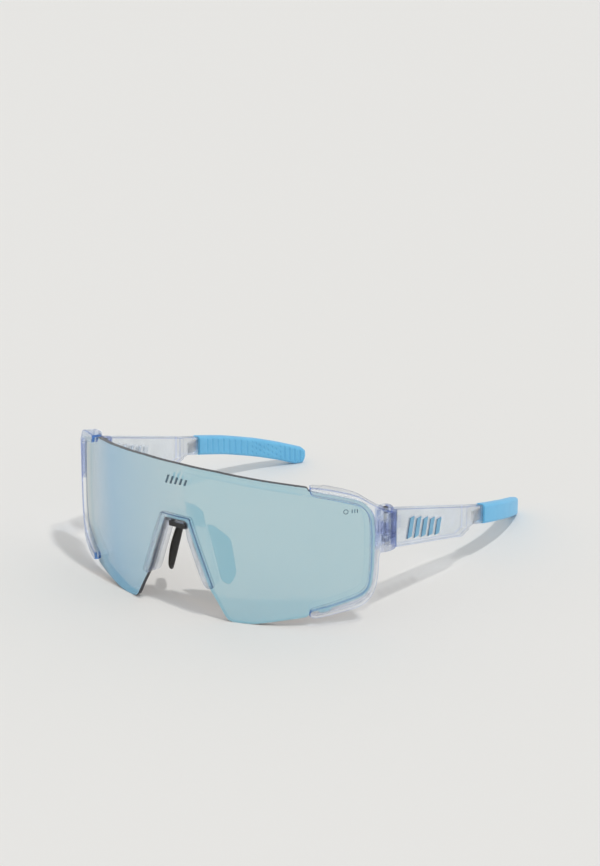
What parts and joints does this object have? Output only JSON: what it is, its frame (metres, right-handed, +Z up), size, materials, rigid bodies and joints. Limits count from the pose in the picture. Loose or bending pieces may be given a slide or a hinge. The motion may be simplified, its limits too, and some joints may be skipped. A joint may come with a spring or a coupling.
{
  "type": "wraparound sport sunglasses",
  "caption": "Wraparound sport sunglasses: one curved shield lens in a clear hooked frame, folding clear temples with soft adjustable tips, and adjustable nose pads.",
  "frame": {"origin": "bottom centre of the overall box, on the surface the open pair stands on, in the plane of symmetry", "axes": "+Z up, -Y the way the wearer looks, +Y back along the temples, +X the wearer's left"},
  "size_m": [0.1458, 0.1644, 0.0597],
  "materials": {
    "clear_plastic": "clear moulded plastic, polished",
    "mirror_lens": "ice-blue mirror coating on a smoke polycarbonate shield",
    "black_rubber": "matte soft rubber",
    "blue_rubber": "matte soft rubber",
    "badge_blue": "satin moulded",
    "spring_steel": "rolled",
    "screw_steel": "dark turned",
    "nut_steel": "bright turned"
  },
  "bodies": {
    "front": {"front_frame": "clear_plastic", "lens": "mirror_lens", "nose_clip": "clear_plastic", "nose_strap": "black_rubber", "nose_strap_core": "spring_steel", "hinge_screw_left": "screw_steel", "hinge_screw_right": "screw_steel", "hinge_nut_left": "nut_steel", "hinge_nut_right": "nut_steel"},
    "temple_left": {"temple_left": "clear_plastic", "badge_left": "badge_blue", "core_anchor_left": "spring_steel"},
    "temple_right": {"temple_right": "clear_plastic", "badge_right": "badge_blue", "core_anchor_right": "spring_steel"},
    "tip_left": {"sleeve_left": "blue_rubber", "tip_core_left": "spring_steel"},
    "tip_right": {"sleeve_right": "blue_rubber", "tip_core_right": "spring_steel"},
    "nose_pad_left": {"nose_pad_left": "black_rubber", "nose_pad_core_left": "spring_steel"},
    "nose_pad_right": {"nose_pad_right": "black_rubber", "nose_pad_core_right": "spring_steel"}
  },
  "joints": [
    {"name": "temple_left_fold", "type": "hinge", "parent": "front", "child": "temple_left", "pos_m": [0.066, -0.0394, 0.0365], "axis": [0, 0, 1], "range_deg": [0, 86]},
    {"name": "temple_right_fold", "type": "hinge", "parent": "front", "child": "temple_right", "pos_m": [-0.066, -0.0394, 0.0365], "axis": [0, 0, -1], "range_deg": [0, 77]},
    {"name": "tip_left_bend", "type": "hinge", "parent": "temple_left", "child": "tip_left", "pos_m": [0.06875, 0.025, 0.0205], "axis": [0, 0.292, 0.9564], "range_deg": [-4, 4]},
    {"name": "tip_right_bend", "type": "hinge", "parent": "temple_right", "child": "tip_right", "pos_m": [-0.06875, 0.025, 0.0205], "axis": [0, -0.292, -0.9564], "range_deg": [-4, 4]},
    {"name": "nose_pad_left_bend", "type": "hinge", "parent": "front", "child": "nose_pad_left", "pos_m": [0.0056, -0.0715, 0.0345], "axis": [0, -1, 0], "range_deg": [-8, 12]},
    {"name": "nose_pad_right_bend", "type": "hinge", "parent": "front", "child": "nose_pad_right", "pos_m": [-0.0056, -0.0715, 0.0345], "axis": [0, 1, 0], "range_deg": [-8, 12]}
  ]
}
